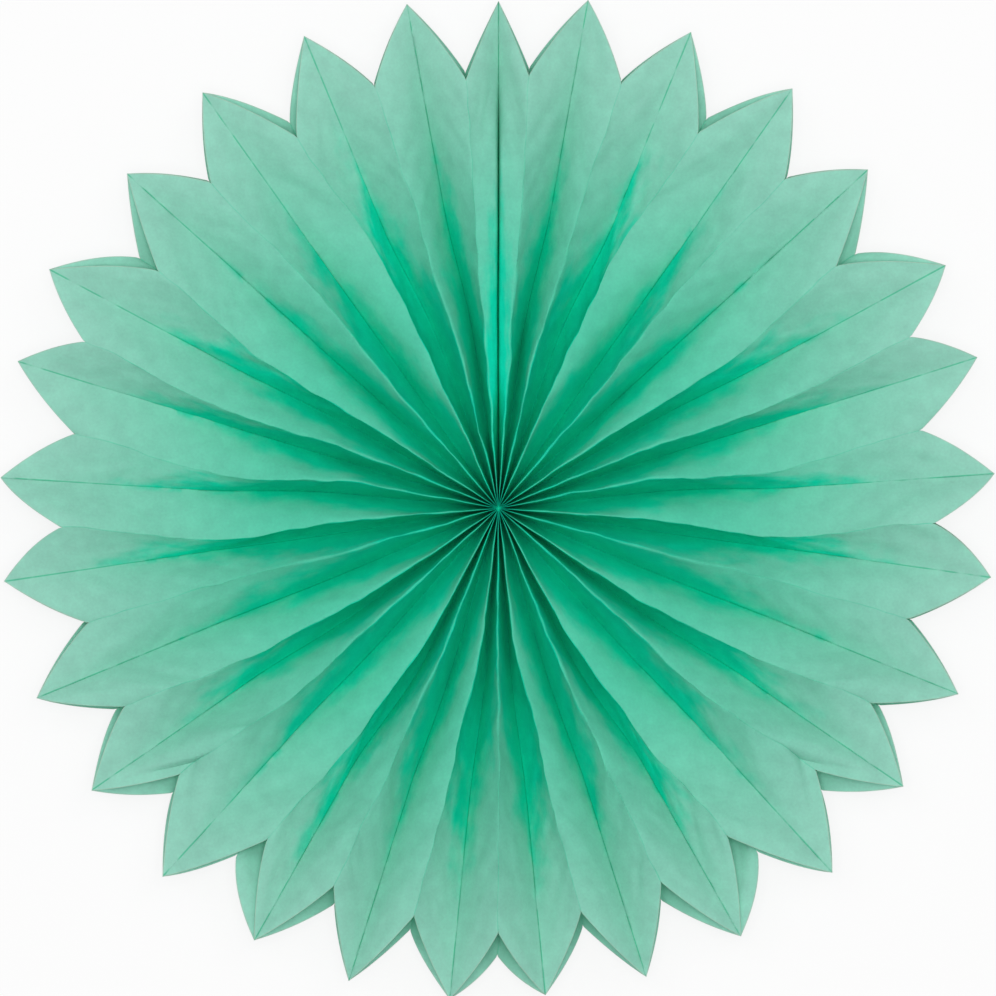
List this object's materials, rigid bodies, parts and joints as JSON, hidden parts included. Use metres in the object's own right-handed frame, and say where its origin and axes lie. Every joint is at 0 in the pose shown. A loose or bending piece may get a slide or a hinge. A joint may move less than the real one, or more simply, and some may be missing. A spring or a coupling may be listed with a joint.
{
  "type": "paper fan rosette",
  "caption": "Round honeycomb tissue-paper fan of pointed petals, each folded from two pasted leaves, used as a flat hanging or wall decoration.",
  "frame": {"origin": "on the hub axis, on the surface that the fan lies on", "axes": "+Z along the hub axis out of the front of the fan, +Y from the hub to the tip of the narrow closing petal"},
  "size_m": [0.3992, 0.3992, 0.0436],
  "materials": {
    "tissue": "thin matte tissue paper, mint green, slightly translucent"
  },
  "bodies": {
    "root": {"leaf_01": "tissue", "leaf_02": "tissue", "leaf_03": "tissue", "leaf_04": "tissue", "leaf_05": "tissue", "leaf_06": "tissue", "leaf_07": "tissue", "leaf_08": "tissue", "leaf_09": "tissue", "leaf_10": "tissue", "leaf_11": "tissue", "leaf_12": "tissue", "leaf_13": "tissue", "leaf_14": "tissue", "leaf_15": "tissue", "leaf_16": "tissue", "leaf_17": "tissue", "leaf_18": "tissue", "leaf_19": "tissue", "leaf_20": "tissue", "leaf_21": "tissue", "leaf_22": "tissue", "leaf_23": "tissue", "leaf_24": "tissue", "leaf_25": "tissue", "leaf_26": "tissue", "leaf_27": "tissue", "leaf_28": "tissue", "leaf_29": "tissue", "leaf_30": "tissue", "leaf_31": "tissue", "leaf_32": "tissue", "leaf_33": "tissue", "leaf_34": "tissue", "leaf_35": "tissue", "leaf_36": "tissue", "leaf_37": "tissue", "leaf_38": "tissue", "leaf_39": "tissue", "leaf_40": "tissue", "leaf_41": "tissue", "leaf_42": "tissue", "leaf_43": "tissue", "leaf_44": "tissue", "leaf_45": "tissue", "leaf_46": "tissue", "leaf_47": "tissue", "leaf_48": "tissue", "leaf_49": "tissue", "leaf_50": "tissue", "leaf_51": "tissue", "leaf_52": "tissue", "leaf_53": "tissue", "leaf_54": "tissue", "leaf_55": "tissue", "leaf_56": "tissue", "leaf_57": "tissue", "leaf_58": "tissue"}
  },
  "joints": []
}
